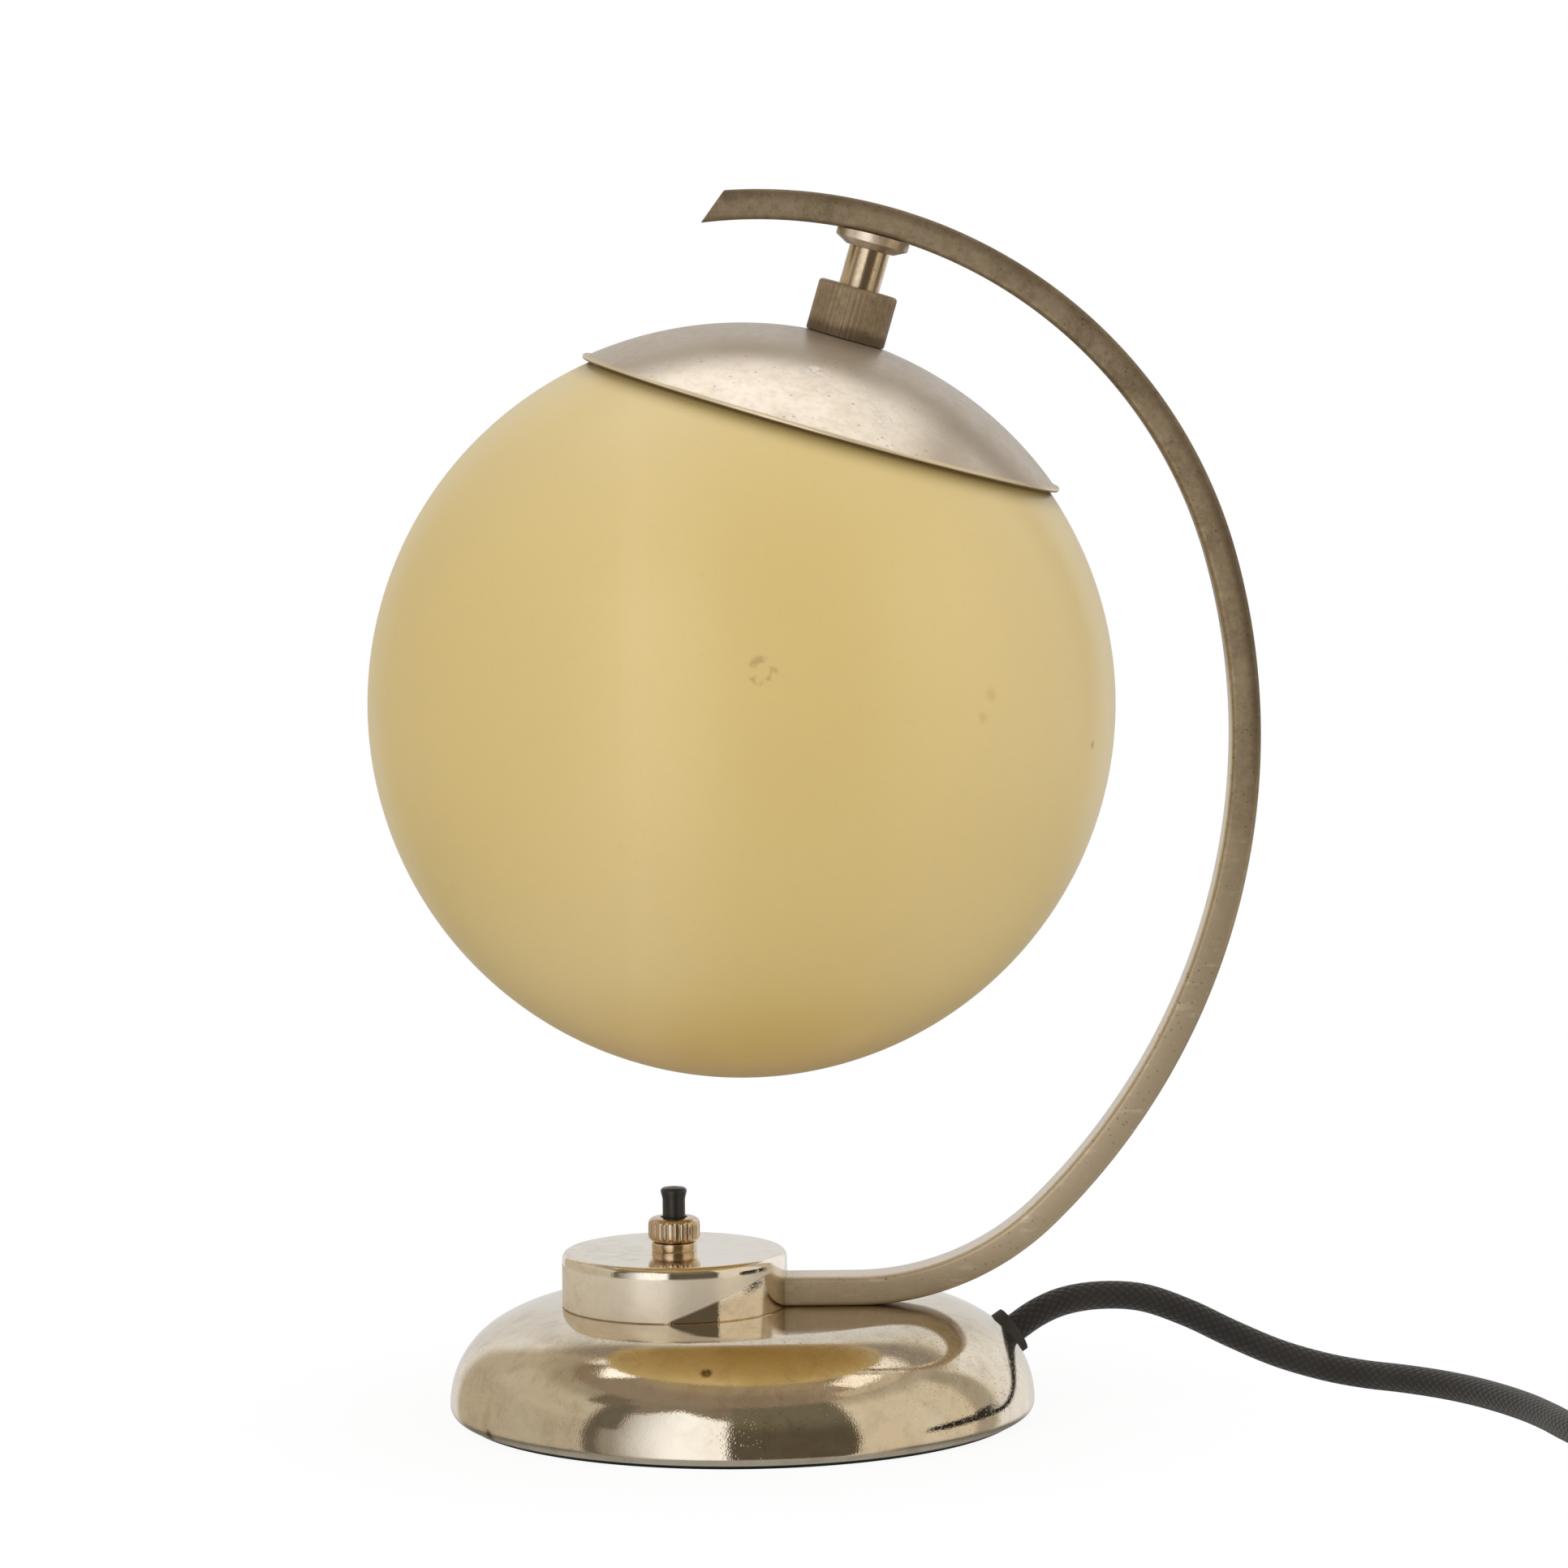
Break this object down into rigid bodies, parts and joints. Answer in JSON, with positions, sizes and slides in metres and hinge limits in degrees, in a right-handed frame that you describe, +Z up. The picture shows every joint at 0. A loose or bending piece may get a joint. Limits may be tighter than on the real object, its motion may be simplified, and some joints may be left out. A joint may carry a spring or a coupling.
{
  "type": "bedside lamp",
  "caption": "Small lamp with an opaque glass ball hung under a metal cap from a curved rectangular arm, on a round spun foot with a push switch and a cord.",
  "frame": {"origin": "middle of the felt's underside, on the table under the centre of the foot", "axes": "+Z up, +X from the switch towards the arm's back, +Y away from the viewer"},
  "size_m": [0.3593, 0.1757, 0.2637],
  "materials": {
    "polished_nickel": "polished, nickelled, with small pits and wear",
    "cast_iron": "rough cast, dark varnish",
    "steel": "zinc plated",
    "spring_steel": "blued spring steel",
    "green_felt": "pressed wool felt",
    "brass": "turned, unplated",
    "arm_patina": "satin, darkened with age",
    "neck_brass": "turned, satin",
    "dark_brass": "fluted, dark patina",
    "satin_nickel": "satin nickelled, scuffed",
    "opal_glass": "opaque yellow-beige, satin",
    "clear_glass": "frosted",
    "bulb_metal": "rolled screw cap",
    "bakelite": "moulded, black",
    "porcelain": "glazed white",
    "black_rubber": "matt",
    "cord_black": "black sheath, matt",
    "wire_insulation": "insulated core",
    "pin_brass": "turned, bright"
  },
  "bodies": {
    "root": {"base_shell": "polished_nickel", "base_weight": "cast_iron", "base_plate": "steel", "felt_pad": "green_felt", "clamp_posts": "brass", "clamp_screws": "steel", "arm": "arm_patina", "arm_foot_block": "brass", "arm_screws": "steel", "arm_washers": "steel", "arm_wires": "wire_insulation", "switch_drum": "polished_nickel", "switch_body": "bakelite", "switch_bush": "brass", "switch_ring": "polished_nickel", "switch_collar_nut": "polished_nickel", "switch_terminals": "brass", "switch_spring": "steel", "neck_flange": "neck_brass", "neck_tube": "neck_brass", "coupling_nut": "dark_brass", "shade_cap": "satin_nickel", "spring_spider": "spring_steel", "glass_globe": "opal_glass", "holder_cap": "brass", "holder_sleeve": "bakelite", "holder_insulator": "porcelain", "holder_thread": "brass", "holder_contact": "brass", "bulb_cap": "bulb_metal", "bulb_glass": "clear_glass", "cord_grommet": "black_rubber", "cord_tail": "cord_black", "cord_collar": "steel", "collar_screw": "steel", "wire_connector": "porcelain", "cord_cores": "wire_insulation", "cord_lead": "cord_black", "cord_coil": "cord_black", "cord_tie": "black_rubber", "plug_relief": "black_rubber", "plug_body": "bakelite", "plug_pins": "pin_brass"},
    "button": {"switch_button": "bakelite"}
  },
  "joints": [
    {"name": "button_press", "type": "slide", "parent": "root", "child": "button", "axis": [0, 0, -1], "range_m": [0, 0.003], "stiffness_N_per_m": 400, "springref_m": -0.002, "deforming": ["switch_spring"]}
  ]
}
